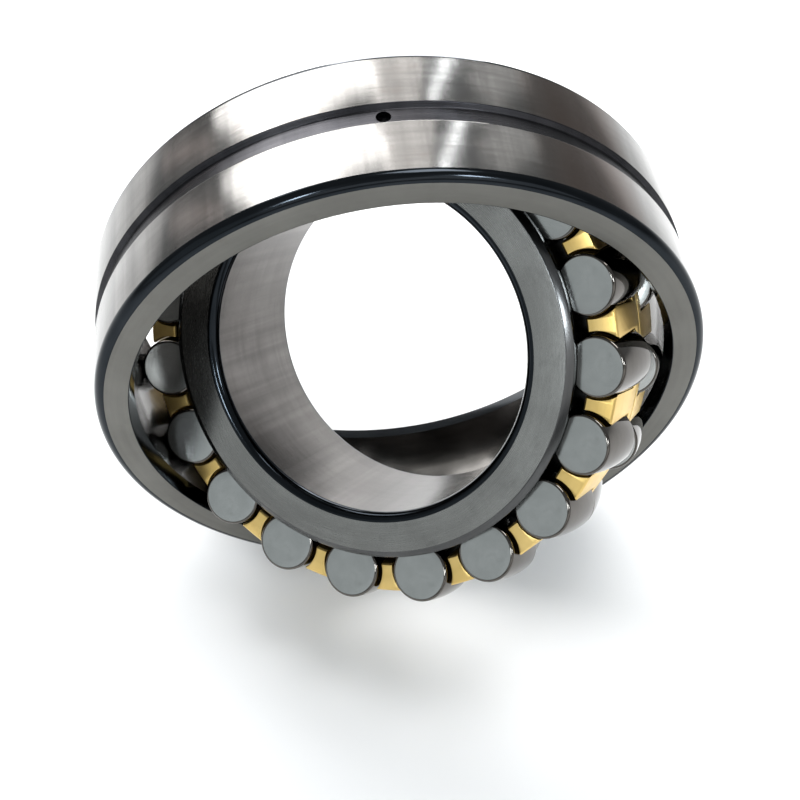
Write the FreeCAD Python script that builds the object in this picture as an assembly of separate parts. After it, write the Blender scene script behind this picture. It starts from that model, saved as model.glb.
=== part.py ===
import FreeCAD, Part
import math
import os

from FreeCAD import Vector

# A double-row spherical roller bearing with two machined brass cages, in millimetres.
# The outer ring's axis is +Y, its front face looks towards -Y, and the origin is the bearing's centre.
# The inner ring, guide ring, cages and rollers are stored swivelled together inside the outer ring,
# as such a bearing is shown or inspected before it is fitted.

# ---- boundary dimensions (dimension series 22: 110 x 200 x 53) ----
BORE_RADIUS = 55.0
OUTSIDE_RADIUS = 100.0
WIDTH = 53.0
CORNER_RADIUS = 3.0
HALF_WIDTH = WIDTH / 2

# ---- outer ring ----
RACEWAY_SPHERE_RADIUS = 90.0
SIDE_FACE_INNER_RADIUS = 89.2
RACEWAY_EDGE_RADIUS = 87.4
GROOVE_HALF_WIDTH = 4.0
GROOVE_BOTTOM_HALF_WIDTH = 3.1
GROOVE_DEPTH = 1.6
OIL_HOLE_RADIUS = 2.25
OIL_HOLE_COUNT = 3
FIRST_OIL_HOLE_DEG = 91.8

# ---- rollers: two rows of barrels, each row leaning towards the middle of the bearing ----
ROLLERS_PER_ROW = 19
ROLLER_RADIUS = 10.25
ROLLER_LENGTH = 20.0
ROLLER_CORNER = 0.9
ROLLER_PROFILE_RADIUS = 88.2
CONTACT_ANGLE_DEG = 9.7
ROLLING_GAP = 0.15
FRONT_ROW_START_DEG = 6.1
BACK_ROW_START_DEG = 3.0

# ---- inner ring ----
INNER_PROFILE_RADIUS = 91.0
CENTRE_LAND_HALF_WIDTH = 3.4
FLANGE_RADIUS = 70.5
FLANGE_ROOT_RADIUS = 67.05
FLANGE_FACE_RADIUS = 68.3
FLANGE_CHAMFER_LENGTH = 1.6
FLANGE_END_GAP = 0.4

# ---- loose guide ring between the two rows ----
GUIDE_BORE_RADIUS = 70.1
GUIDE_OUTSIDE_RADIUS = 79.0
GUIDE_END_GAP = 0.25
GUIDE_CHAMFER = 0.5

# ---- cages: one brass ring for each row, back to back, with prongs towards the side face ----
CAGE_SPLIT_GAP = 0.3
CAGE_ROOT_RADIUS = 84.8
CAGE_TIP_RADIUS = 83.5
CAGE_WEB_BORE_RADIUS = 79.4
CAGE_SPLIT_CHAMFER = 0.4
PRONG_TIP = 21.3
PRONG_INNER_RADIUS_AT_TIP = 73.9
PRONG_INNER_RADIUS_AT_ROOT = 74.6
PRONG_ROOT = 3.9
PRONG_EDGE_CHAMFER = 0.6
POCKET_GAP = 0.25
POCKET_END_GAP = 0.35
POCKET_MOUTH_RADIUS = 10.9
POCKET_MOUTH_START = 5.6

# ---- pose of the inner assembly in the outer ring ----
SWIVEL_AXIS_DEG = 38.66
REST_SWIVEL_DEG = 49.18

CENTRE = Vector(0, 0, 0)
BEARING_AXIS = Vector(0, 1, 0)
ROUND_FROM_X_TO_Z = Vector(0, -1, 0)
FRONT, BACK = -1, 1
ROW_START_DEG = {FRONT: FRONT_ROW_START_DEG, BACK: BACK_ROW_START_DEG}

CONTACT_ANGLE = math.radians(CONTACT_ANGLE_DEG)
ROLLER_PITCH_DEG = 360 / ROLLERS_PER_ROW
ROLLER_CENTRE_DISTANCE = RACEWAY_SPHERE_RADIUS - ROLLING_GAP - ROLLER_RADIUS


def drawn(start, *steps):
    """A closed wire in the XY plane from start. A step of one point is a straight line to it, and a
    step of two points is an arc through the first to the second. The last step leads back to start."""
    edges = []
    here = start
    for step in steps:
        points = [Vector(x, y, 0) for x, y in (here, *step)]
        maker = Part.LineSegment if len(step) == 1 else Part.Arc
        edges.append(maker(*points).toShape())
        here = step[-1]
    return Part.Wire(edges)


def outline(start, *steps, closing=None):
    """A closed wire in the XY plane, the same above and below the X axis. The steps lead from start
    through the upper half, and the lower half mirrors them. The wire closes with a straight line, or
    with an arc through the closing point."""
    path = [start, *(step[-1] for step in steps)]
    lower = [
        (*((x, -y) for x, y in step[:-1]), (here[0], -here[1]))
        for here, step in reversed(list(zip(path, steps)))
    ]
    across = ((path[-1][0], -path[-1][1]),)
    close = (start,) if closing is None else (closing, start)
    return drawn(start, *steps, across, *lower, close)


def turned(wire):
    """The solid that a half outline sweeps round the bearing's axis."""
    return Part.Face(wire).revolve(CENTRE, BEARING_AXIS, 360)


def on_arc(centre, radius, angle_deg):
    """A point at an angle on a circle in the XY plane."""
    angle = math.radians(angle_deg)
    return (centre[0] + radius * math.cos(angle), centre[1] + radius * math.sin(angle))


def end_plane_height(radius, along_roller):
    """Height along the bearing's axis, at a radius, of the plane that crosses a roller of the back
    row squarely at along_roller from that roller's centre."""
    centre_radius = ROLLER_CENTRE_DISTANCE * math.cos(CONTACT_ANGLE)
    centre_height = ROLLER_CENTRE_DISTANCE * math.sin(CONTACT_ANGLE)
    lean = (radius - centre_radius) * math.tan(CONTACT_ANGLE)
    return centre_height + along_roller / math.cos(CONTACT_ANGLE) + lean


def inner_raceway_radius(height):
    """Radius of the inner ring's hollow raceway under the back row, at a height along the axis."""
    touch_distance = ROLLER_CENTRE_DISTANCE - ROLLER_RADIUS - ROLLING_GAP
    arc_distance = touch_distance + INNER_PROFILE_RADIUS
    from_arc_centre = height - arc_distance * math.sin(CONTACT_ANGLE)
    depth = math.sqrt(INNER_PROFILE_RADIUS**2 - from_arc_centre**2)
    return arc_distance * math.cos(CONTACT_ANGLE) - depth


def make_outer_ring():
    """Outer ring with a spherical raceway, a lubrication groove and its holes."""
    corner_side = HALF_WIDTH - CORNER_RADIUS
    corner_out = OUTSIDE_RADIUS - CORNER_RADIUS
    groove_radius = OUTSIDE_RADIUS - GROOVE_DEPTH
    raceway_edge = math.sqrt(RACEWAY_SPHERE_RADIUS**2 - RACEWAY_EDGE_RADIUS**2)
    wire = outline(
        (RACEWAY_EDGE_RADIUS, raceway_edge),
        ((SIDE_FACE_INNER_RADIUS, HALF_WIDTH),),
        ((corner_out, HALF_WIDTH),),
        (on_arc((corner_out, corner_side), CORNER_RADIUS, 45), (OUTSIDE_RADIUS, corner_side)),
        ((OUTSIDE_RADIUS, GROOVE_HALF_WIDTH),),
        ((groove_radius, GROOVE_BOTTOM_HALF_WIDTH),),
        closing=(RACEWAY_SPHERE_RADIUS, 0),
    )
    holes = []
    for number in range(OIL_HOLE_COUNT):
        hole = Part.makeCylinder(OIL_HOLE_RADIUS, OUTSIDE_RADIUS, CENTRE, Vector(1, 0, 0))
        hole.rotate(CENTRE, ROUND_FROM_X_TO_Z, FIRST_OIL_HOLE_DEG + number * 360 / OIL_HOLE_COUNT)
        holes.append(hole)
    return turned(wire).cut(holes)


def make_inner_ring():
    """Inner ring with two hollow raceways, a centre land and a retaining flange at each side."""
    corner_side = HALF_WIDTH - CORNER_RADIUS
    corner_in = BORE_RADIUS + CORNER_RADIUS
    flange_top = end_plane_height(FLANGE_RADIUS, ROLLER_LENGTH / 2 + FLANGE_END_GAP)
    race_out = end_plane_height(FLANGE_ROOT_RADIUS, ROLLER_LENGTH / 2 + FLANGE_END_GAP)
    race_in = CENTRE_LAND_HALF_WIDTH
    race_middle = (race_in + race_out) / 2
    return turned(
        outline(
            (inner_raceway_radius(race_in), race_in),
            (
                (inner_raceway_radius(race_middle), race_middle),
                (inner_raceway_radius(race_out), race_out),
            ),
            ((FLANGE_RADIUS, flange_top),),
            ((FLANGE_RADIUS, HALF_WIDTH - FLANGE_CHAMFER_LENGTH),),
            ((FLANGE_FACE_RADIUS, HALF_WIDTH),),
            ((corner_in, HALF_WIDTH),),
            (on_arc((corner_in, corner_side), CORNER_RADIUS, 135), (BORE_RADIUS, corner_side)),
        )
    )


def make_guide_ring():
    """Loose ring on the inner ring's centre land, between the inner ends of the two rows."""
    inner_ends = -ROLLER_LENGTH / 2 - GUIDE_END_GAP
    rim = GUIDE_OUTSIDE_RADIUS - GUIDE_CHAMFER
    rim_height = end_plane_height(rim, inner_ends)
    return turned(
        outline(
            (GUIDE_BORE_RADIUS, end_plane_height(GUIDE_BORE_RADIUS, inner_ends)),
            ((rim, rim_height),),
            ((GUIDE_OUTSIDE_RADIUS, rim_height - GUIDE_CHAMFER),),
        )
    )


def placed_in_row(shape, side, number):
    """Puts a shape made about the Y axis where that row's roller stands."""
    shape.rotate(CENTRE, Vector(0, 0, 1), side * CONTACT_ANGLE_DEG)
    outwards = ROLLER_CENTRE_DISTANCE * math.cos(CONTACT_ANGLE)
    sideways = side * ROLLER_CENTRE_DISTANCE * math.sin(CONTACT_ANGLE)
    shape.translate(Vector(outwards, sideways, 0))
    shape.rotate(CENTRE, ROUND_FROM_X_TO_Z, ROW_START_DEG[side] + number * ROLLER_PITCH_DEG)
    return shape


def make_roller(side, number):
    """Barrel roller with flat ends and rounded end corners."""
    half = ROLLER_LENGTH / 2
    shoulder = half - ROLLER_CORNER
    profile_centre = ROLLER_RADIUS - ROLLER_PROFILE_RADIUS
    shoulder_radius = profile_centre + math.sqrt(ROLLER_PROFILE_RADIUS**2 - shoulder**2)
    face_radius = shoulder_radius - ROLLER_CORNER
    wire = outline(
        (shoulder_radius, shoulder),
        (on_arc((face_radius, shoulder), ROLLER_CORNER, 45), (face_radius, half)),
        ((0, half),),
        closing=(ROLLER_RADIUS, 0),
    )
    return placed_in_row(turned(wire), side, number)


def make_pocket(side, number):
    """What one pocket removes from its cage: a bore along its roller that widens at the mouth."""
    bore = ROLLER_RADIUS + POCKET_GAP
    bottom = ROLLER_LENGTH / 2 + POCKET_END_GAP
    taper = POCKET_MOUTH_RADIUS - bore
    along = Vector(0, side, 0)
    pocket = Part.makeCylinder(bore, bottom + POCKET_MOUTH_START, along * -bottom, along)
    cone = Part.makeCone(bore, POCKET_MOUTH_RADIUS, taper, along * POCKET_MOUTH_START, along)
    mouth = Part.makeCylinder(POCKET_MOUTH_RADIUS, bottom, along * (POCKET_MOUTH_START + taper), along)
    return placed_in_row(pocket.fuse([cone, mouth]), side, number)


def make_cage(side):
    """The cage of one row: a web ring beside the middle of the bearing, and a prong between each two
    rollers. The pockets are bored in a plain ring, and its inside is turned out afterwards."""
    split = side * CAGE_SPLIT_GAP / 2
    split_edge = side * (CAGE_SPLIT_GAP / 2 + CAGE_SPLIT_CHAMFER)
    prong_end = side * (PRONG_TIP - PRONG_EDGE_CHAMFER)
    tip = side * PRONG_TIP
    past_tip = side * (PRONG_TIP + PRONG_EDGE_CHAMFER)
    root = side * PRONG_ROOT
    middle = -split
    ring = drawn(
        (PRONG_INNER_RADIUS_AT_TIP, split),
        ((CAGE_ROOT_RADIUS - CAGE_SPLIT_CHAMFER, split),),
        ((CAGE_ROOT_RADIUS, split_edge),),
        ((CAGE_TIP_RADIUS, prong_end),),
        ((CAGE_TIP_RADIUS - PRONG_EDGE_CHAMFER, tip),),
        ((PRONG_INNER_RADIUS_AT_TIP, tip),),
        ((PRONG_INNER_RADIUS_AT_TIP, split),),
    )
    inside = drawn(
        (0, middle),
        ((CAGE_WEB_BORE_RADIUS, middle),),
        ((CAGE_WEB_BORE_RADIUS, root),),
        ((PRONG_INNER_RADIUS_AT_ROOT, root),),
        ((PRONG_INNER_RADIUS_AT_TIP, prong_end),),
        ((PRONG_INNER_RADIUS_AT_TIP + 2 * PRONG_EDGE_CHAMFER, past_tip),),
        ((0, past_tip),),
        ((0, middle),),
    )
    pockets = [make_pocket(side, number) for number in range(ROLLERS_PER_ROW)]
    return turned(ring).cut(pockets).cut(turned(inside))


def swivelled(shape):
    """Turns a piece of the inner assembly from square in the outer ring to its stored pose."""
    angle = math.radians(SWIVEL_AXIS_DEG)
    shape.rotate(CENTRE, Vector(math.cos(angle), 0, math.sin(angle)), -REST_SWIVEL_DEG)
    return shape


def main():
    pieces = {
        "outer_ring": make_outer_ring(),
        "inner_ring": swivelled(make_inner_ring()),
        "guide_ring": swivelled(make_guide_ring()),
        "front_cage": swivelled(make_cage(FRONT)),
        "back_cage": swivelled(make_cage(BACK)),
    }
    for row, side in (("front", FRONT), ("back", BACK)):
        for number in range(ROLLERS_PER_ROW):
            pieces[f"roller_{row}_{number + 1:02d}"] = swivelled(make_roller(side, number))
    os.makedirs("parts", exist_ok=True)
    for name, shape in pieces.items():
        solids = shape.Solids
        if len(solids) != 1 or not shape.isValid():
            raise ValueError(f"{name} is not one valid solid: {len(solids)} solids")
        solids[0].exportStep(f"parts/{name}.step")
        print(name, round(shape.Volume / 1000, 3), "cm3")


main()
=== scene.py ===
import bmesh
import bpy
import math
from mathutils import Matrix, Vector


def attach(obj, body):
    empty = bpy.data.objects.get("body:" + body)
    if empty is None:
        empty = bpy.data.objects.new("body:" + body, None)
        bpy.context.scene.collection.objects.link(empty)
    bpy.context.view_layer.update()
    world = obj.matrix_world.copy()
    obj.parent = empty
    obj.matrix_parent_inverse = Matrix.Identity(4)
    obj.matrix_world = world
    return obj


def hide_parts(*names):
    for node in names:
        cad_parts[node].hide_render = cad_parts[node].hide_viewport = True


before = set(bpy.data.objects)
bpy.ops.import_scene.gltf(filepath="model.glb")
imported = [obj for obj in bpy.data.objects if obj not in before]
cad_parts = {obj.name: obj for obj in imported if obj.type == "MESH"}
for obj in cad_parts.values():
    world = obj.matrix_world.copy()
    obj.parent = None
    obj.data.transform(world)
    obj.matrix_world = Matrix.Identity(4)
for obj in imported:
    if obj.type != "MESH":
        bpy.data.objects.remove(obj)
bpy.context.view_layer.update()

MM = 0.001

# ---- the bearing's dimensions in millimetres, as in the CAD model ----
BORE_RADIUS = 55.0
OUTSIDE_RADIUS = 100.0
HALF_WIDTH = 26.5
CORNER_RADIUS = 3.0
RACEWAY_SPHERE_RADIUS = 90.0
RACEWAY_EDGE_RADIUS = 87.4
SIDE_FACE_INNER_RADIUS = 89.2
GROOVE_HALF_WIDTH = 4.0
GROOVE_BOTTOM_HALF_WIDTH = 3.1
GROOVE_DEPTH = 1.6
OIL_HOLE_RADIUS = 2.25
OIL_HOLE_COUNT = 3
FIRST_OIL_HOLE_DEG = 91.8
ROLLERS_PER_ROW = 19
ROLLER_RADIUS = 10.25
ROLLER_HALF_LENGTH = 10.0
ROLLER_CORNER = 0.9
ROLLER_PROFILE_RADIUS = 88.2
CONTACT_ANGLE = math.radians(9.7)
ROLLING_GAP = 0.15
INNER_PROFILE_RADIUS = 91.0
CENTRE_LAND_HALF_WIDTH = 3.4
FLANGE_RADIUS = 70.5
FLANGE_ROOT_RADIUS = 67.05
FLANGE_FACE_RADIUS = 68.3
FLANGE_CHAMFER_LENGTH = 1.6
FLANGE_END_GAP = 0.4
GUIDE_BORE_RADIUS = 70.1
GUIDE_OUTSIDE_RADIUS = 79.0
GUIDE_END_GAP = 0.25
GUIDE_CHAMFER = 0.5
CAGE_SPLIT_GAP = 0.3
CAGE_ROOT_RADIUS = 84.8
CAGE_TIP_RADIUS = 83.5
CAGE_WEB_BORE_RADIUS = 79.4
CAGE_SPLIT_CHAMFER = 0.4
PRONG_TIP = 21.3
PRONG_INNER_RADIUS_AT_TIP = 73.9
PRONG_INNER_RADIUS_AT_ROOT = 74.6
PRONG_ROOT = 3.9
PRONG_EDGE_CHAMFER = 0.6
POCKET_GAP = 0.25
POCKET_END_GAP = 0.35
POCKET_MOUTH_RADIUS = 10.9
POCKET_MOUTH_START = 5.6
FRONT, BACK = -1, 1
ROW_START_DEG = {FRONT: 6.1, BACK: 3.0}
SWIVEL_AXIS_DEG = 38.66
REST_SWIVEL_DEG = 49.18

ROLLER_PITCH_DEG = 360 / ROLLERS_PER_ROW
ROLLER_CENTRE_DISTANCE = RACEWAY_SPHERE_RADIUS - ROLLING_GAP - ROLLER_RADIUS
SWIVEL_AXIS = Vector((math.cos(math.radians(SWIVEL_AXIS_DEG)), 0, math.sin(math.radians(SWIVEL_AXIS_DEG))))
SWIVELLED = Matrix.Rotation(-math.radians(REST_SWIVEL_DEG), 4, SWIVEL_AXIS)
UPRIGHT = Matrix.Identity(4)

# ---- edges that are broken slightly, in millimetres ----
OUTER_RING_EDGE = 0.25
INNER_RING_EDGE = 0.2
GUIDE_RING_EDGE = 0.15
CAGE_EDGE = 0.22

# ---- how finely the meshes are divided ----
RING_SEGMENTS = 360
GUIDE_SEGMENTS = 288
CAGE_SEGMENTS = ROLLERS_PER_ROW * 18
ROLLER_SEGMENTS = 96
POCKET_SEGMENTS = 96
HOLE_SEGMENTS = 48
CORNER_STEPS = 12
OUTER_RACEWAY_STEPS = 40
INNER_RACEWAY_STEPS = 16
BARREL_STEPS = 24
ROLLER_CORNER_STEPS = 6
EDGE_STEPS = 3
ROLLER_END_RINGS = (0.0, 3.0, 6.0)
SHARP_DEG = 28
CAGE_SHARP_DEG = 35
CAGE_EDGE_DEG = 30


# ---- profiles ----
def arc(centre, radius, start_deg, end_deg, steps):
    """Points on a circle in the profile plane, both ends included."""
    turns = [math.radians(start_deg + (end_deg - start_deg) * i / steps) for i in range(steps + 1)]
    return [(centre[0] + radius * math.cos(a), centre[1] + radius * math.sin(a)) for a in turns]


def end_plane_height(radius, along_roller):
    """Height at a radius of the plane square to a back-row roller, along_roller from its centre."""
    middle = ROLLER_CENTRE_DISTANCE * math.cos(CONTACT_ANGLE)
    height = ROLLER_CENTRE_DISTANCE * math.sin(CONTACT_ANGLE)
    return height + along_roller / math.cos(CONTACT_ANGLE) + (radius - middle) * math.tan(CONTACT_ANGLE)


def inner_raceway_radius(height):
    """Radius of the inner ring's hollow raceway under the back row, at a height along the axis."""
    reach = ROLLER_CENTRE_DISTANCE - ROLLER_RADIUS - ROLLING_GAP + INNER_PROFILE_RADIUS
    aside = height - reach * math.sin(CONTACT_ANGLE)
    return reach * math.cos(CONTACT_ANGLE) - math.sqrt(INNER_PROFILE_RADIUS**2 - aside**2)


def eased(corners, ease):
    """Rounds the soft corners of a closed profile. corners is a list of (radius, height, zone, soft),
    and the zone is that of the edge that leaves the corner. Returns (radius, height, zone) points."""
    points = []
    count = len(corners)
    for i, (r, h, zone, soft) in enumerate(corners):
        if not soft:
            points.append((r, h, zone))
            continue
        before = Vector((corners[i - 1][0] - r, corners[i - 1][1] - h))
        after = Vector((corners[(i + 1) % count][0] - r, corners[(i + 1) % count][1] - h))
        cut = min(ease, before.length / 3, after.length / 3)
        corner = Vector((r, h))
        start = corner + before.normalized() * cut
        end = corner + after.normalized() * cut
        for k in range(EDGE_STEPS + 1):
            t = k / EDGE_STEPS
            on_curve = start * (1 - t) ** 2 + corner * 2 * t * (1 - t) + end * t**2
            points.append((on_curve.x, on_curve.y, zone))
    return points


def lathe(name, points, materials, segments):
    """A mesh turned about +Y from a closed profile of (radius, height, zone) points in millimetres."""
    rings = []
    vertices = []
    for radius, height, _ in points:
        if radius == 0:
            rings.append([len(vertices)] * segments)
            vertices.append((0, height * MM, 0))
            continue
        rings.append(list(range(len(vertices), len(vertices) + segments)))
        for k in range(segments):
            turn = 2 * math.pi * k / segments
            vertices.append((radius * MM * math.cos(turn), height * MM, radius * MM * math.sin(turn)))
    faces = []
    zones = []
    for i, (_, _, zone) in enumerate(points):
        here, there = rings[i], rings[(i + 1) % len(points)]
        if here[0] == here[-1] and there[0] == there[-1]:
            continue
        for k in range(segments):
            m = (k + 1) % segments
            face = []
            for index in (here[k], here[m], there[m], there[k]):
                if index not in face:
                    face.append(index)
            faces.append(face)
            zones.append(zone)
    mesh = bpy.data.meshes.new(name)
    mesh.from_pydata(vertices, [], faces)
    for material in materials:
        mesh.materials.append(material)
    mesh.polygons.foreach_set("material_index", zones)
    mesh.update()
    return mesh


def outwards(mesh):
    """Turns the faces' normals to the outside."""
    work = bmesh.new()
    work.from_mesh(mesh)
    bmesh.ops.recalc_face_normals(work, faces=work.faces)
    work.to_mesh(mesh)
    work.free()


def finished(mesh, sharp_deg=SHARP_DEG):
    """Smooth shading with sharp edges kept."""
    outwards(mesh)
    mesh.shade_smooth()
    mesh.set_sharp_from_angle(angle=math.radians(sharp_deg))
    return mesh


def placed(name, mesh, pose, node):
    """Shows a mesh in place of a CAD node, on the same body. The mesh keeps, at each vertex, its place
    before it was posed and the direction of the machining lines, which run round its own axis."""
    turned = mesh.attributes.new("turned", "FLOAT_VECTOR", "POINT")
    lines = mesh.attributes.new("lines", "FLOAT_VECTOR", "POINT")
    turning = pose.to_3x3()
    for index, vertex in enumerate(mesh.vertices):
        x, y, z = vertex.co
        turned.data[index].vector = (x, y, z)
        lines.data[index].vector = turning @ Vector((-z, 0, x)).normalized()
    mesh.transform(pose)
    piece = bpy.data.objects.new(name, mesh)
    bpy.context.scene.collection.objects.link(piece)
    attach(piece, node)
    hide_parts(node)


def blank(mesh):
    """A passing object, to put a modifier on."""
    body = bpy.data.objects.new("blank", mesh)
    bpy.context.scene.collection.objects.link(body)
    return body


def applied(body, name):
    """The mesh that a passing object's modifiers give. The object itself goes."""
    bpy.context.view_layer.update()
    result = bpy.data.meshes.new_from_object(body.evaluated_get(bpy.context.evaluated_depsgraph_get()))
    result.name = name
    bpy.data.objects.remove(body)
    return result


def cut_out(mesh, cutters):
    """The mesh less the cutter meshes, which keep their own zones on the new faces."""
    body = blank(mesh)
    tools = []
    for number, (cutter, pose) in enumerate(cutters):
        tool = bpy.data.objects.new(f"tool_{number}", cutter)
        bpy.context.scene.collection.objects.link(tool)
        tool.matrix_world = pose
        tools.append(tool)
    group = bpy.data.collections.new("tools")
    bpy.context.scene.collection.children.link(group)
    for tool in tools:
        group.objects.link(tool)
    cut = body.modifiers.new("cut", "BOOLEAN")
    cut.operation = "DIFFERENCE"
    cut.solver = "EXACT"
    cut.operand_type = "COLLECTION"
    cut.collection = group
    result = applied(body, mesh.name + "_cut")
    for tool in tools:
        bpy.data.objects.remove(tool)
    bpy.data.collections.remove(group)
    return result


def eased_edges(mesh, width):
    """Breaks the sharp edges of a cut mesh, as deburring does."""
    body = blank(mesh)
    bevel = body.modifiers.new("deburr", "BEVEL")
    bevel.width = width * MM
    bevel.segments = 2
    bevel.limit_method = "ANGLE"
    bevel.angle_limit = math.radians(CAGE_EDGE_DEG)
    bevel.use_clamp_overlap = True
    return finished(applied(body, mesh.name + "_eased"), CAGE_SHARP_DEG)


# ---- materials ----
LINE_SPREAD = 0.0035  # metres of pattern per radian, short so that the lines run on round the axis
BANDS_PER_LINE = 0.13
CLOUD_SCALE = 42.0
MARK_SCALE = 900.0
STAIN_SCALE = 95.0
LENGTHWISE_SCALE = 11.0
LENGTHWISE_DARK = 0.45
# how strongly the painted reflection band covers the base colour
PAINTED_REFLECTION_STRENGTH = 0.75
BUMP_DISTANCE = 0.0001


class Nodes:
    """Small helper that adds nodes to one material and links them."""

    def __init__(self, name):
        self.material = bpy.data.materials.new(name)
        self.material.use_nodes = True
        self.tree = self.material.node_tree
        self.shader = self.tree.nodes["Principled BSDF"]

    def add(self, kind, inputs=(), **settings):
        node = self.tree.nodes.new(kind)
        for key, value in settings.items():
            setattr(node, key, value)
        for key, value in dict(inputs).items():
            self.feed(node.inputs[key], value)
        return node

    def feed(self, socket, value):
        if isinstance(value, bpy.types.NodeSocket):
            self.tree.links.new(value, socket)
        else:
            socket.default_value = value

    def maths(self, operation, *values):
        node = self.tree.nodes.new("ShaderNodeMath")
        node.operation = operation
        for socket, value in zip(node.inputs, values):
            self.feed(socket, value)
        return node.outputs[0]

    def ramp(self, value, low, high, to_low, to_high):
        node = self.add("ShaderNodeMapRange", {0: value, 1: low, 2: high, 3: to_low, 4: to_high})
        return node.outputs[0]

    def noise(self, vector, scale, detail=3.0, roughness=0.55):
        node = self.add(
            "ShaderNodeTexNoise",
            {"Vector": vector, "Scale": scale, "Detail": detail, "Roughness": roughness},
        )
        return node.outputs["Fac"]

    def colour_mix(self, factor, first, second):
        node = self.add("ShaderNodeMix", data_type="RGBA")
        self.feed(node.inputs[0], factor)
        self.feed(node.inputs[6], first)
        self.feed(node.inputs[7], second)
        return node.outputs[2]


def opaque(colour, share=1.0):
    return tuple(share * c for c in colour) + (1,)


def machined(
    name,
    dark,
    light,
    roughness,
    grain=0.04,
    lines_per_mm=4.0,
    line_depth=0.06,
    brushed=0.0,
    line_tone=0.5,
    stain=None,
    stain_amount=0.0,
    lengthwise=0.0,
    marks_depth=0.2,
    painted_reflection=None,
):
    """Machined metal: fine lines round the piece's own axis, cloudy polish, small marks and stains.
    lengthwise adds soft bands that run along the axis, as grinding leaves them. The last argument
    gives a painted reflection: a band of its colour, painted into the base colour at its angle round the
    axis."""
    n = Nodes(name)
    place = n.add("ShaderNodeAttribute", attribute_name="turned").outputs["Vector"]
    x, y, z = n.add("ShaderNodeSeparateXYZ", {0: place}).outputs
    radius = n.maths("SQRT", n.maths("ADD", n.maths("MULTIPLY", x, x), n.maths("MULTIPLY", z, z)))
    angle = n.maths("ARCTAN2", z, x)
    round_axis = n.maths("MULTIPLY", angle, LINE_SPREAD)
    rings = n.add("ShaderNodeCombineXYZ", {0: round_axis, 1: y, 2: radius}).outputs[0]
    lines_per_metre = lines_per_mm / MM
    fine = n.noise(rings, lines_per_metre, detail=2.0, roughness=0.7)
    bands = n.noise(rings, lines_per_metre * BANDS_PER_LINE, detail=3.0)
    clouds = n.noise(place, CLOUD_SCALE, detail=4.0)
    marks = n.noise(place, MARK_SCALE, detail=2.0, roughness=0.6)
    lined = n.maths("MULTIPLY", bands, line_tone)
    clouded = n.maths("MULTIPLY", clouds, 1.0 - line_tone)
    tone = n.maths("ADD", lined, clouded)
    colour = n.colour_mix(n.ramp(tone, 0.34, 0.66, 0.0, 1.0), opaque(dark), opaque(light))
    if lengthwise:
        along_axis = n.maths("MULTIPLY", y, 0.25)
        round_ring = {0: n.maths("COSINE", angle), 1: along_axis, 2: n.maths("SINE", angle)}
        spread = n.add("ShaderNodeCombineXYZ", round_ring).outputs[0]
        slow = n.noise(spread, LENGTHWISE_SCALE, detail=5.0, roughness=0.62)
        shade = n.ramp(slow, 0.35, 0.65, 1.0 - lengthwise, 1.0)
        colour = n.colour_mix(shade, opaque(dark, LENGTHWISE_DARK), colour)
    # painted reflection: a dark band at one angle round the axis, painted into the base colour
    if painted_reflection is not None:
        reflection_colour, centre_deg = painted_reflection
        reflection_closeness = n.maths("COSINE", n.maths("SUBTRACT", angle, math.radians(centre_deg)))
        colour = n.colour_mix(n.ramp(reflection_closeness, 0.975, 0.996, 0.0, PAINTED_REFLECTION_STRENGTH), colour, opaque(reflection_colour))
    if stain is not None:
        blots = n.noise(place, STAIN_SCALE, detail=6.0, roughness=0.68)
        colour = n.colour_mix(n.ramp(blots, 0.56, 0.74, 0.0, stain_amount), colour, opaque(stain))
    n.feed(n.shader.inputs["Base Color"], colour)
    n.shader.inputs["Metallic"].default_value = 1.0
    rough = n.maths(
        "ADD",
        n.ramp(fine, 0.3, 0.7, roughness - grain, roughness + grain),
        n.ramp(clouds, 0.3, 0.7, -grain / 2, grain / 2),
    )
    n.feed(n.shader.inputs["Roughness"], rough)
    height = n.maths("ADD", n.maths("MULTIPLY", fine, 0.8), n.maths("MULTIPLY", marks, marks_depth))
    bump = n.add("ShaderNodeBump", {"Strength": line_depth, "Distance": BUMP_DISTANCE, "Height": height})
    n.feed(n.shader.inputs["Normal"], bump.outputs[0])
    if brushed:
        n.shader.inputs["Anisotropic"].default_value = brushed
        lines = n.add("ShaderNodeAttribute", attribute_name="lines").outputs["Vector"]
        in_world = n.add(
            "ShaderNodeVectorTransform",
            {0: lines},
            vector_type="VECTOR",
            convert_from="OBJECT",
            convert_to="WORLD",
        ).outputs[0]
        normal = n.add("ShaderNodeNewGeometry").outputs["Normal"]
        across = n.add("ShaderNodeVectorMath", {0: in_world, 1: normal}, operation="CROSS_PRODUCT")
        n.feed(n.shader.inputs["Tangent"], across.outputs[0])
    return n.material


GROUND = machined(
    "outer_ground", (0.185, 0.178, 0.17), (0.30, 0.292, 0.28), 0.17, brushed=0.75, line_depth=0.03,
    line_tone=0.35, stain=(0.17, 0.13, 0.11), stain_amount=0.25, lengthwise=0.5,
    # painted reflection: a dark brown band on the outside at 55 degrees round the axis
    painted_reflection=((0.15, 0.105, 0.085), 55),
)
FACE = machined(
    "outer_face", (0.14, 0.137, 0.125), (0.185, 0.181, 0.166), 0.36, grain=0.05, line_depth=0.08,
    line_tone=0.3, stain=(0.12, 0.11, 0.095), stain_amount=0.3,
)
BLACK = machined(
    "black_corner", (0.013, 0.016, 0.019), (0.028, 0.032, 0.037), 0.13, grain=0.03, line_depth=0.03,
)
GROOVE = machined(
    "groove_steel", (0.03, 0.03, 0.034), (0.07, 0.068, 0.072), 0.3, grain=0.06, lines_per_mm=2.0,
    line_depth=0.15, lengthwise=0.5,
)
RACEWAY = machined(
    "outer_raceway", (0.062, 0.059, 0.056), (0.098, 0.094, 0.089), 0.13, grain=0.03, line_depth=0.02,
)
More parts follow.
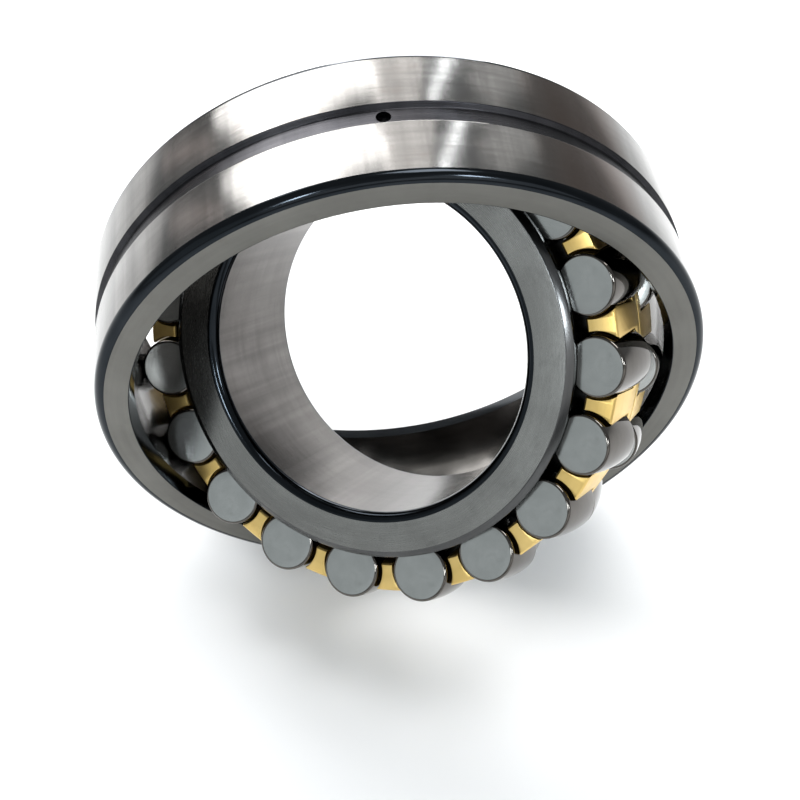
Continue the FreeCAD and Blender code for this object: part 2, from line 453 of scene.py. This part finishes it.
INNER_FACE = machined(
    "inner_face", (0.23, 0.228, 0.218), (0.31, 0.308, 0.295), 0.26, grain=0.05, line_depth=0.08,
    line_tone=0.35, stain=(0.1, 0.1, 0.097), stain_amount=0.3,
)
BORE = machined(
    "inner_bore", (0.072, 0.065, 0.061), (0.132, 0.123, 0.117), 0.14, brushed=0.7, line_depth=0.03,
    line_tone=0.3, lengthwise=0.5,
)
INNER_RACE = machined(
    "inner_raceway", (0.14, 0.135, 0.13), (0.2, 0.195, 0.19), 0.12, grain=0.03, line_depth=0.02,
)
FLANGE = machined("inner_flange", (0.07, 0.071, 0.072), (0.105, 0.105, 0.104), 0.2, line_depth=0.05)
GUIDE = machined(
    "guide_steel", (0.14, 0.14, 0.135), (0.2, 0.2, 0.195), 0.3, grain=0.05, lines_per_mm=2.5,
    line_depth=0.12,
)
BARREL = machined(
    "roller_barrel", (0.088, 0.08, 0.072), (0.132, 0.122, 0.111), 0.08, grain=0.02, line_depth=0.015,
    line_tone=0.3,
)
ROLLER_END = machined(
    "roller_end", (0.33, 0.342, 0.335), (0.43, 0.442, 0.432), 0.22, lines_per_mm=3.0, line_depth=0.05,
    line_tone=0.2, marks_depth=0.02, stain=(0.2, 0.205, 0.2), stain_amount=0.35,
)
BRASS = machined(
    "cage_brass", (0.70, 0.48, 0.15), (0.88, 0.64, 0.25), 0.36, grain=0.05, lines_per_mm=3.0,
    line_depth=0.06, line_tone=0.25, stain=(0.4, 0.24, 0.07), stain_amount=0.3,
)


# ---- outer ring ----
OUTER_RING_METALS = (GROUND, FACE, BLACK, GROOVE, RACEWAY)
DRILLED_FROM, DRILLED_TO = 80, 105


def outer_ring():
    """The outer ring: the front half of its profile mirrors the back half."""
    ground, face, black, groove, raceway = range(len(OUTER_RING_METALS))
    corner_out = OUTSIDE_RADIUS - CORNER_RADIUS
    corner_side = HALF_WIDTH - CORNER_RADIUS
    edge_height = math.sqrt(RACEWAY_SPHERE_RADIUS**2 - RACEWAY_EDGE_RADIUS**2)
    groove_radius = OUTSIDE_RADIUS - GROOVE_DEPTH
    rounding = arc((corner_out, corner_side), CORNER_RADIUS, 90, 0, CORNER_STEPS)
    upper = [(SIDE_FACE_INNER_RADIUS, HALF_WIDTH, face, True)]
    upper += [(r, h, black, False) for r, h in rounding[:-1]]
    upper += [(*rounding[-1], ground, False)]
    upper += [(OUTSIDE_RADIUS, GROOVE_HALF_WIDTH, groove, True)]
    upper += [(groove_radius, GROOVE_BOTTOM_HALF_WIDTH, groove, True)]
    edge_deg = math.degrees(math.asin(edge_height / RACEWAY_SPHERE_RADIUS))
    race = arc((0, 0), RACEWAY_SPHERE_RADIUS, -edge_deg, edge_deg, OUTER_RACEWAY_STEPS)
    zones = [groove, ground] + [black] * CORNER_STEPS + [face, black]
    lower = [(r, -h, zone, soft) for (r, h, _, soft), zone in zip(reversed(upper), zones)]
    inside = [(r, h, raceway, False) for r, h in race[:-1]] + [(*race[-1], black, False)]
    points = eased(upper + lower + inside, OUTER_RING_EDGE)
    mesh = lathe("outer_ring_turned", points, OUTER_RING_METALS, RING_SEGMENTS)
    outwards(mesh)
    hole = [
        (0, DRILLED_FROM, groove),
        (OIL_HOLE_RADIUS, DRILLED_FROM, groove),
        (OIL_HOLE_RADIUS, DRILLED_TO, groove),
        (0, DRILLED_TO, groove),
    ]
    cutters = []
    for number in range(OIL_HOLE_COUNT):
        drill = lathe("drill", hole, OUTER_RING_METALS, HOLE_SEGMENTS)
        outwards(drill)
        turn = math.radians(FIRST_OIL_HOLE_DEG + number * 360 / OIL_HOLE_COUNT - 90)
        cutters.append((drill, Matrix.Rotation(-turn, 4, "Y") @ Matrix.Rotation(math.pi / 2, 4, "X")))
    mesh = finished(cut_out(mesh, cutters))
    placed("outer_ring_body", mesh, UPRIGHT, "outer_ring")


# ---- inner ring and guide ring ----
INNER_RING_METALS = (INNER_FACE, BLACK, BORE, INNER_RACE, FLANGE)


def inner_ring():
    """The inner ring: the front half of its profile mirrors the back half."""
    face, black, bore, raceway, flange = range(len(INNER_RING_METALS))
    corner_side = HALF_WIDTH - CORNER_RADIUS
    corner_in = BORE_RADIUS + CORNER_RADIUS
    reach = ROLLER_HALF_LENGTH + FLANGE_END_GAP
    race_out = end_plane_height(FLANGE_ROOT_RADIUS, reach)
    steps = INNER_RACEWAY_STEPS
    race_width = race_out - CENTRE_LAND_HALF_WIDTH
    heights = [CENTRE_LAND_HALF_WIDTH + race_width * i / steps for i in range(steps + 1)]
    upper = [(inner_raceway_radius(h), h, raceway, False) for h in heights]
    upper += [(FLANGE_RADIUS, end_plane_height(FLANGE_RADIUS, reach), flange, True)]
    upper += [(FLANGE_RADIUS, HALF_WIDTH - FLANGE_CHAMFER_LENGTH, flange, True)]
    upper += [(FLANGE_FACE_RADIUS, HALF_WIDTH, face, True)]
    rounding = arc((corner_in, corner_side), CORNER_RADIUS, 90, 180, CORNER_STEPS)
    upper += [(r, h, black, False) for r, h in rounding[:-1]]
    upper += [(*rounding[-1], bore, False)]
    zones = [black] * CORNER_STEPS + [face, flange, flange] + [raceway] * (steps + 2)
    lower = [(r, -h, zone, soft) for (r, h, _, soft), zone in zip(reversed(upper), zones)]
    points = eased(upper + lower, INNER_RING_EDGE)
    mesh = finished(lathe("inner_ring_turned", points, INNER_RING_METALS, RING_SEGMENTS))
    placed("inner_ring_body", mesh, SWIVELLED, "inner_ring")


def guide_ring():
    """The loose ring between the inner ends of the two rows."""
    inner_ends = -ROLLER_HALF_LENGTH - GUIDE_END_GAP
    rim = GUIDE_OUTSIDE_RADIUS - GUIDE_CHAMFER
    rim_height = end_plane_height(rim, inner_ends)
    upper = [
        (GUIDE_BORE_RADIUS, end_plane_height(GUIDE_BORE_RADIUS, inner_ends), 0, True),
        (rim, rim_height, 0, True),
        (GUIDE_OUTSIDE_RADIUS, rim_height - GUIDE_CHAMFER, 0, True),
    ]
    lower = [(r, -h, zone, soft) for r, h, zone, soft in reversed(upper)]
    points = eased(upper + lower, GUIDE_RING_EDGE)
    mesh = finished(lathe("guide_ring_turned", points, (GUIDE,), GUIDE_SEGMENTS))
    placed("guide_ring_body", mesh, SWIVELLED, "guide_ring")


# ---- rollers ----
def in_row(side, number):
    """Where the roller of that row and number stands, for a shape made about +Y."""
    lean = Matrix.Rotation(side * CONTACT_ANGLE, 4, "Z")
    away = Vector(
        (
            ROLLER_CENTRE_DISTANCE * math.cos(CONTACT_ANGLE) * MM,
            side * ROLLER_CENTRE_DISTANCE * math.sin(CONTACT_ANGLE) * MM,
            0,
        )
    )
    turn = math.radians(ROW_START_DEG[side] + number * ROLLER_PITCH_DEG)
    return Matrix.Rotation(turn, 4, Vector((0, -1, 0))) @ Matrix.Translation(away) @ lean


def roller_points():
    """A roller's closed profile, from the middle of its outer end to the middle of its inner end."""
    barrel, end = 0, 1
    shoulder = ROLLER_HALF_LENGTH - ROLLER_CORNER
    centre = ROLLER_RADIUS - ROLLER_PROFILE_RADIUS
    tip_deg = math.degrees(math.asin(shoulder / ROLLER_PROFILE_RADIUS))
    side = arc((centre, 0), ROLLER_PROFILE_RADIUS, tip_deg, -tip_deg, BARREL_STEPS)
    face_radius = side[0][0] - ROLLER_CORNER
    top = arc((face_radius, shoulder), ROLLER_CORNER, 90, 0, ROLLER_CORNER_STEPS)[:-1]
    bottom = arc((face_radius, -shoulder), ROLLER_CORNER, 0, -90, ROLLER_CORNER_STEPS)[1:]
    points = [(r, ROLLER_HALF_LENGTH, end) for r in ROLLER_END_RINGS]
    points += [(r, h, barrel) for r, h in top + side + bottom[:-1]]
    points += [(*bottom[-1], end)]
    points += [(r, -ROLLER_HALF_LENGTH, end) for r in reversed(ROLLER_END_RINGS)]
    return points


def rollers():
    """All the rollers, each a piece of its own."""
    for row, side in (("front", FRONT), ("back", BACK)):
        for number in range(ROLLERS_PER_ROW):
            node = f"roller_{row}_{number + 1:02d}"
            turned = lathe(node + "_turned", roller_points(), (BARREL, ROLLER_END), ROLLER_SEGMENTS)
            mesh = finished(turned)
            placed(node + "_body", mesh, SWIVELLED @ in_row(side, number), node)


# ---- cages ----
def pocket_points():
    """The profile of what one pocket takes out of its cage, with its mouth towards the side face."""
    bore = ROLLER_RADIUS + POCKET_GAP
    bottom = ROLLER_HALF_LENGTH + POCKET_END_GAP
    taper = POCKET_MOUTH_RADIUS - bore
    return [
        (0, -bottom, 0),
        (bore, -bottom, 0),
        (bore, POCKET_MOUTH_START, 0),
        (POCKET_MOUTH_RADIUS, POCKET_MOUTH_START + taper, 0),
        (POCKET_MOUTH_RADIUS, POCKET_MOUTH_START + taper + bottom, 0),
        (0, POCKET_MOUTH_START + taper + bottom, 0),
    ]


def cage(side, name):
    """The cage of one row: a web ring beside the middle, and a prong between each two rollers."""
    split = CAGE_SPLIT_GAP / 2
    prong_end = PRONG_TIP - PRONG_EDGE_CHAMFER
    inner_end = PRONG_INNER_RADIUS_AT_TIP + PRONG_EDGE_CHAMFER
    corners = [
        (CAGE_WEB_BORE_RADIUS, split),
        (CAGE_ROOT_RADIUS - CAGE_SPLIT_CHAMFER, split),
        (CAGE_ROOT_RADIUS, split + CAGE_SPLIT_CHAMFER),
        (CAGE_TIP_RADIUS, prong_end),
        (CAGE_TIP_RADIUS - PRONG_EDGE_CHAMFER, PRONG_TIP),
        (inner_end, PRONG_TIP),
        (PRONG_INNER_RADIUS_AT_TIP, prong_end),
        (PRONG_INNER_RADIUS_AT_ROOT, PRONG_ROOT),
        (CAGE_WEB_BORE_RADIUS, PRONG_ROOT),
    ]
    points = [(r, side * h, 0) for r, h in corners]
    ring = lathe(name + "_ring", points, (BRASS,), CAGE_SEGMENTS)
    outwards(ring)
    cutters = []
    for number in range(ROLLERS_PER_ROW):
        bored = [(r, side * h, zone) for r, h, zone in pocket_points()]
        pocket = lathe("pocket", bored, (BRASS,), POCKET_SEGMENTS)
        outwards(pocket)
        cutters.append((pocket, in_row(side, number)))
    mesh = eased_edges(cut_out(ring, cutters), CAGE_EDGE)
    placed(name + "_body", mesh, SWIVELLED, name)


# ---- the pieces ----
outer_ring()
inner_ring()
guide_ring()
rollers()
cage(FRONT, "front_cage")
cage(BACK, "back_cage")


# ---- camera ----
CAMERA_PLACE = (-0.03427, -0.30670, 0.37074)
CAMERA_AHEAD = (0.0704, 0.6007, -0.7964)
SENSOR_WIDTH = 36.0
LENS = 63.65
NEAREST, FARTHEST = 0.01, 20.0


def set_camera():
    data = bpy.data.cameras.new("camera")
    camera = bpy.data.objects.new("camera", data)
    bpy.context.scene.collection.objects.link(camera)
    ahead = Vector(CAMERA_AHEAD).normalized()
    right = ahead.cross(Vector((0, 0, 1))).normalized()
    over = right.cross(ahead)
    pose = Matrix((right, over, -ahead)).transposed().to_4x4()
    pose.translation = Vector(CAMERA_PLACE)
    camera.matrix_world = pose
    data.sensor_width = SENSOR_WIDTH
    data.lens = LENS
    data.clip_start = NEAREST
    data.clip_end = FARTHEST
    bpy.context.scene.camera = camera


set_camera()


# ---- floor and light, in metres ----
FLOOR_HALF_WIDTH = 4.0
FLOOR_GAP = 0.0002
FLOOR_DULL, FLOOR_PALE = 0.9, 0.93
FLOOR_ROUGHNESS = 0.7
WORLD_COLOUR = (0.86, 0.90, 0.92)
WORLD_STRENGTH = 0.36


def floor():
    """Pale paper just under the outer ring."""
    n = Nodes("floor_paper")
    place = n.add("ShaderNodeTexCoord").outputs["Object"]
    tone = n.ramp(n.noise(place, 3.0), 0.3, 0.7, 0.0, 1.0)
    paper = n.colour_mix(tone, opaque((FLOOR_DULL,) * 3), opaque((FLOOR_PALE,) * 3))
    n.feed(n.shader.inputs["Base Color"], paper)
    n.shader.inputs["Roughness"].default_value = FLOOR_ROUGHNESS
    mesh = bpy.data.meshes.new("floor")
    level = -OUTSIDE_RADIUS * MM - FLOOR_GAP
    square = ((-1, -1), (1, -1), (1, 1), (-1, 1))
    corners = [(x * FLOOR_HALF_WIDTH, y * FLOOR_HALF_WIDTH, level) for x, y in square]
    mesh.from_pydata(corners, [], [(0, 1, 2, 3)])
    mesh.materials.append(n.material)
    sheet = bpy.data.objects.new("floor", mesh)
    bpy.context.scene.collection.objects.link(sheet)


def hung(name, kind, place, target, power, colour):
    """A light at a place that points at a target. The lamp itself is not seen."""
    data = bpy.data.lights.new(name, kind)
    data.energy = power
    data.color = colour
    lamp = bpy.data.objects.new(name, data)
    bpy.context.scene.collection.objects.link(lamp)
    lamp.location = place
    lamp.rotation_euler = (Vector(target) - Vector(place)).to_track_quat("-Z", "Y").to_euler()
    lamp.visible_camera = False
    return data


def area_light(name, place, target, width, height, power, colour=(1, 1, 1)):
    data = hung(name, "AREA", place, target, power, colour)
    data.shape = "RECTANGLE"
    data.size = width
    data.size_y = height


def softbox(name, azimuth_deg, elevation_deg, distance, width, height, radiance, colour=(1, 1, 1)):
    """A rectangular light that faces the bearing from a direction: azimuth from +Y towards +X."""
    turn, lift = math.radians(azimuth_deg), math.radians(elevation_deg)
    level = math.cos(lift)
    place = Vector((math.sin(turn) * level, math.cos(turn) * level, math.sin(lift))) * distance
    area_light(name, place, (0, 0, 0), width, height, radiance * math.pi * width * height, colour)


def spot(name, place, target, cone_deg, power, colour=(1, 1, 1)):
    data = hung(name, "SPOT", place, target, power, colour)
    data.spot_size = math.radians(cone_deg)
    data.spot_blend = 0.4
    data.shadow_soft_size = 0.02


floor()
softbox("back_left", -22, 33, 1.6, 1.02, 0.9, 7.5)
softbox("left_edge", -45, 11, 1.6, 0.08, 0.6, 1.3, (1.0, 0.86, 0.82))
softbox("back_middle", 9, 42, 1.6, 0.36, 0.8, 2.3, (1, 0.98, 0.97))
softbox("back_strip", 23, 38, 1.6, 0.045, 0.7, 13.0, (0.92, 0.96, 1.0))
softbox("back_right", 35, 26, 1.7, 0.28, 0.6, 1.0)
softbox("front_left", -124, 16, 2.0, 2.2, 1.0, 0.3, (0.9, 0.98, 1.0))
softbox("window_left", -150, 38, 1.4, 0.14, 0.2, 45.0, (0.88, 0.95, 1.0))
softbox("window_right", 150, 40, 1.4, 0.14, 0.2, 45.0, (0.88, 0.95, 1.0))
softbox("front_right", 150, 22, 2.0, 1.3, 0.9, 0.8)
softbox("front_middle", -173, 20, 2.0, 1.2, 0.8, 0.8)
softbox("overhead", 60, 76, 1.45, 0.55, 0.55, 9.0)
area_light("floor_glow", (0.06, 0.36, 0.12), (0.05, 0.14, -0.1), 0.2, 0.15, 1.1)
spot("bore_band", (0.5, 0.5, 1.1), (0.17, 0.10, -0.1), 5, 22, (0.85, 0.93, 1.0))

world = bpy.data.worlds.new("studio")
world.use_nodes = True
background = world.node_tree.nodes["Background"]
background.inputs["Color"].default_value = opaque(WORLD_COLOUR)
background.inputs["Strength"].default_value = WORLD_STRENGTH
bpy.context.scene.world = world
bpy.context.scene.view_settings.view_transform = "Standard"
